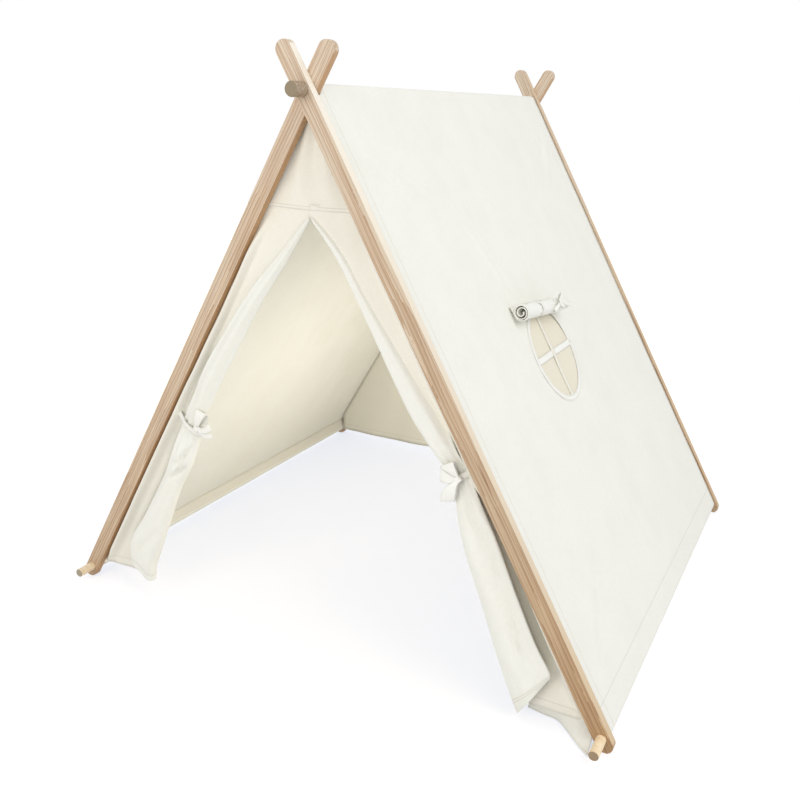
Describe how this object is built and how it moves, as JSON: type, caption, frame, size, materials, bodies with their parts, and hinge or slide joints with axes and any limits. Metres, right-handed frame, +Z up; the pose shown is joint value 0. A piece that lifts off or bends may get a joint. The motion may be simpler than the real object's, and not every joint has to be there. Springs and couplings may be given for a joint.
{
  "type": "play tent",
  "caption": "Folding A-frame play tent: crossed flat wooden poles on a ridge pole, canvas walls with ground rods in the hems, tied-back door curtains and a round window with a rolled flap.",
  "frame": {"origin": "on the floor, under the middle of the tent's bounding box", "axes": "+X to the right as seen by someone facing the door, +Y into the tent from the door to the back, +Z up"},
  "size_m": [1.3636, 1.3402, 1.2635],
  "materials": {
    "pole_wood": "planed and sanded pale softwood, bare",
    "knob_wood": "turned softwood, bare, greyer than the poles",
    "rod_wood": "pale round dowel, bare",
    "canvas": "natural off-white cotton canvas, matt",
    "cotton_tape": "white cotton tape, matt",
    "window_gauze": "beige cotton gauze, matt"
  },
  "bodies": {
    "right_frame": {"front_right_pole": "pole_wood", "back_right_pole": "pole_wood", "right_wall_panel": "canvas", "ridge_sleeve": "canvas", "right_hem_sleeve": "canvas", "front_header_panel": "canvas", "back_gable_panel": "canvas", "right_door_panel": "canvas", "right_curtain_gather": "canvas", "right_curtain_tie": "cotton_tape", "right_curtain_bow": "cotton_tape", "window_screen": "window_gauze", "window_binding": "cotton_tape", "window_rail_tape": "cotton_tape", "window_upright_tape": "cotton_tape"},
    "left_frame": {"front_left_pole": "pole_wood", "back_left_pole": "pole_wood", "left_wall_panel": "canvas", "left_hem_sleeve": "canvas", "left_door_panel": "canvas", "left_curtain_gather": "canvas", "left_curtain_tie": "cotton_tape", "left_curtain_bow": "cotton_tape"},
    "ridge": {"ridge_pole": "pole_wood", "ridge_pole_knob": "knob_wood"},
    "right_rod": {"right_bottom_rod": "rod_wood"},
    "left_rod": {"left_bottom_rod": "rod_wood"},
    "right_skirt": {"right_curtain_skirt": "canvas"},
    "left_skirt": {"left_curtain_skirt": "canvas"},
    "window_flap": {"window_flap_roll": "canvas", "window_tie_front": "cotton_tape", "window_tie_back": "cotton_tape", "window_tie_bow": "cotton_tape"}
  },
  "joints": [
    {"name": "frame_fold", "type": "hinge", "parent": "right_frame", "child": "left_frame", "pos_m": [0, 0, 1.178], "axis": [0, -1, 0], "range_deg": [0, 42], "deforming": ["front_header_panel", "back_gable_panel", "right_door_panel", "left_door_panel", "right_curtain_gather", "left_curtain_gather"]},
    {"name": "ridge_pole_slide", "type": "slide", "parent": "right_frame", "child": "ridge", "axis": [0, -1, 0], "range_m": [0, 1.2]},
    {"name": "right_rod_slide", "type": "slide", "parent": "right_frame", "child": "right_rod", "axis": [0, -1, 0], "range_m": [0, 1.2]},
    {"name": "left_rod_slide", "type": "slide", "parent": "left_frame", "child": "left_rod", "axis": [0, -1, 0], "range_m": [0, 1.2]},
    {"name": "right_skirt_swing", "type": "hinge", "parent": "right_frame", "child": "right_skirt", "pos_m": [0.32704, -0.5871, 0.4834], "axis": [-0.8597, 0, -0.5108], "range_deg": [0, 35], "deforming": ["right_curtain_skirt"]},
    {"name": "left_skirt_swing", "type": "hinge", "parent": "left_frame", "child": "left_skirt", "pos_m": [-0.32854, -0.58832, 0.46388], "axis": [-0.8557, 0, 0.5174], "range_deg": [0, 35], "deforming": ["left_curtain_skirt"]},
    {"name": "window_flap_swing", "type": "hinge", "parent": "right_frame", "child": "window_flap", "pos_m": [0.2731, -0.0607, 0.7275], "axis": [-0.0519, -0.9945, 0.0907], "range_deg": [0, 60]}
  ]
}
